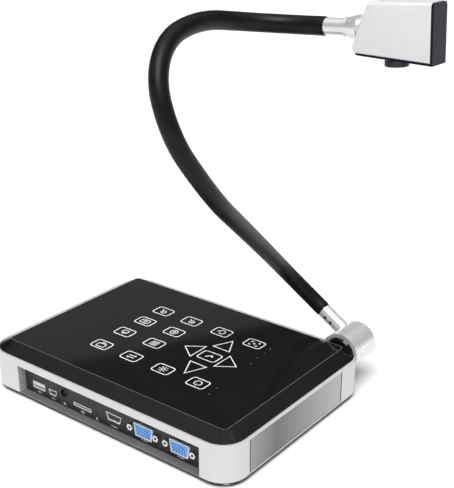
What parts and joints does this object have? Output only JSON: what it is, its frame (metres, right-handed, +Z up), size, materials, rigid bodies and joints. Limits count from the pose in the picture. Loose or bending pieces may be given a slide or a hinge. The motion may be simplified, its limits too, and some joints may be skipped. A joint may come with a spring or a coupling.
{
  "type": "document camera",
  "caption": "Desktop document camera with a flat touch-key base, a gooseneck arm on a friction hinge and a small camera head that looks down.",
  "frame": {"origin": "on the desk, under the middle of the base", "axes": "+X along the base away from the hinge corner, +Y towards the port side, +Z up"},
  "size_m": [0.3137, 0.2007, 0.3182],
  "materials": {
    "silver_frame": "satin anodised",
    "side_panel": "brushed, darker silver",
    "black_bezel": "polished black",
    "black_glass": "polished, printed black underneath",
    "bottom_metal": "matt dark grey",
    "port_plate": "fine matt black",
    "foot_rubber": "matt",
    "screw_steel": "plated",
    "ballast_iron": "raw",
    "board_green": "solder mask",
    "brass": "bright",
    "heat_sink": "plain",
    "socket_metal": "nickel plated",
    "socket_black": "moulded",
    "button_white": "moulded",
    "vga_blue": "moulded",
    "cable_grey": "flat cable",
    "hinge_silver": "satin, cast and turned",
    "shaft_steel": "turned",
    "set_screw_black": "blackened",
    "neck_black": "satin sleeve",
    "neck_core": "wound wire",
    "head_silver": "painted silver",
    "head_black": "polished dark navy black",
    "lens_black": "matt black",
    "lens_glass": "coated"
  },
  "bodies": {
    "base": {"base_frame": "silver_frame", "side_panel_left": "side_panel", "side_panel_right": "side_panel", "top_bezel": "black_bezel", "touch_glass": "black_glass", "bottom_plate": "bottom_metal", "port_panel": "port_plate", "rubber_feet": "foot_rubber", "base_screws": "screw_steel", "ballast_plate": "ballast_iron", "main_board": "board_green", "touch_board": "board_green", "board_standoffs": "brass", "board_screws": "screw_steel", "heat_sink": "heat_sink", "usb_a_socket": "socket_metal", "mini_usb_socket": "socket_metal", "power_socket": "socket_black", "card_slot": "socket_metal", "reset_switch": "socket_black", "hdmi_socket": "socket_metal", "vga_in_socket": "vga_blue", "vga_out_socket": "vga_blue", "vga_flanges": "socket_metal", "vga_jackscrews": "screw_steel", "ribbon_cable": "cable_grey", "hinge_knuckle": "hinge_silver", "hinge_screws": "screw_steel", "hinge_shaft": "shaft_steel", "lock_nut": "screw_steel"},
    "reset_button_body": {"reset_button": "button_white"},
    "arm": {"friction_washers": "brass", "hinge_barrel": "hinge_silver", "barrel_cap": "hinge_silver", "arm_sleeve": "hinge_silver", "set_screws": "set_screw_black", "neck_cover_1": "neck_black", "neck_core_1": "neck_core"},
    "neck_2": {"neck_cover_2": "neck_black", "neck_core_2": "neck_core"},
    "neck_3": {"neck_cover_3": "neck_black", "neck_core_3": "neck_core"},
    "neck_4": {"neck_cover_4": "neck_black", "neck_core_4": "neck_core"},
    "neck_5": {"neck_cover_5": "neck_black", "neck_core_5": "neck_core"},
    "neck_6": {"neck_cover_6": "neck_black", "neck_core_6": "neck_core"},
    "neck_7": {"neck_cover_7": "neck_black", "neck_core_7": "neck_core"},
    "head": {"neck_cover_8": "neck_black", "neck_core_8": "neck_core", "head_sleeve": "hinge_silver", "head_shell": "head_silver", "head_cover": "head_black", "camera_board": "board_green", "lens_barrel": "lens_black", "front_lens": "lens_glass", "head_screws": "screw_steel"},
    "focus_ring_body": {"focus_ring": "lens_black"}
  },
  "joints": [
    {"name": "reset_press", "type": "slide", "parent": "base", "child": "reset_button_body", "axis": [0, -1, 0], "range_m": [0, 0.0004], "stiffness_N_per_m": 300, "springref_m": -0.0005},
    {"name": "arm_hinge", "type": "hinge", "parent": "base", "child": "arm", "pos_m": [-0.105, -0.085, 0.0327], "axis": [0, -1, 0], "range_deg": [-22, 58]},
    {"name": "neck_bend_1", "type": "hinge", "parent": "arm", "child": "neck_2", "pos_m": [-0.04624, -0.07242, 0.09766], "axis": [-0.4118, -0.6293, 0.6591], "range_deg": [-20, 20]},
    {"name": "neck_bend_2", "type": "hinge", "parent": "neck_2", "child": "neck_3", "pos_m": [-0.05817, -0.02318, 0.1367], "axis": [-0.8392, 0.135, -0.5267], "range_deg": [-20, 20]},
    {"name": "neck_bend_3", "type": "hinge", "parent": "neck_3", "child": "neck_4", "pos_m": [-0.07366, 0.02748, 0.17436], "axis": [-0.4888, -0.6117, 0.622], "range_deg": [-20, 20]},
    {"name": "neck_bend_4", "type": "hinge", "parent": "neck_4", "child": "neck_5", "pos_m": [-0.07839, 0.07485, 0.22343], "axis": [0.7283, -0.6025, 0.3264], "range_deg": [-20, 20]},
    {"name": "neck_bend_5", "type": "hinge", "parent": "neck_5", "child": "neck_6", "pos_m": [-0.06779, 0.0844, 0.25975], "axis": [0.8775, 0.3342, -0.3439], "range_deg": [-20, 20]},
    {"name": "neck_bend_6", "type": "hinge", "parent": "neck_6", "child": "neck_7", "pos_m": [-0.05196, 0.04737, 0.29765], "axis": [-0.4, -0.2155, -0.8908], "range_deg": [-20, 20]},
    {"name": "neck_bend_7", "type": "hinge", "parent": "neck_7", "child": "head", "pos_m": [-0.05256, 0.00567, 0.29867], "axis": [0.9141, -0.0233, -0.4048], "range_deg": [-20, 20]},
    {"name": "focus_turn", "type": "hinge", "parent": "head", "child": "focus_ring_body", "pos_m": [-0.1622, -0.0344, 0.27837], "axis": [-0.0583, 0.0077, -0.9983], "range_deg": [-90, 90]}
  ]
}
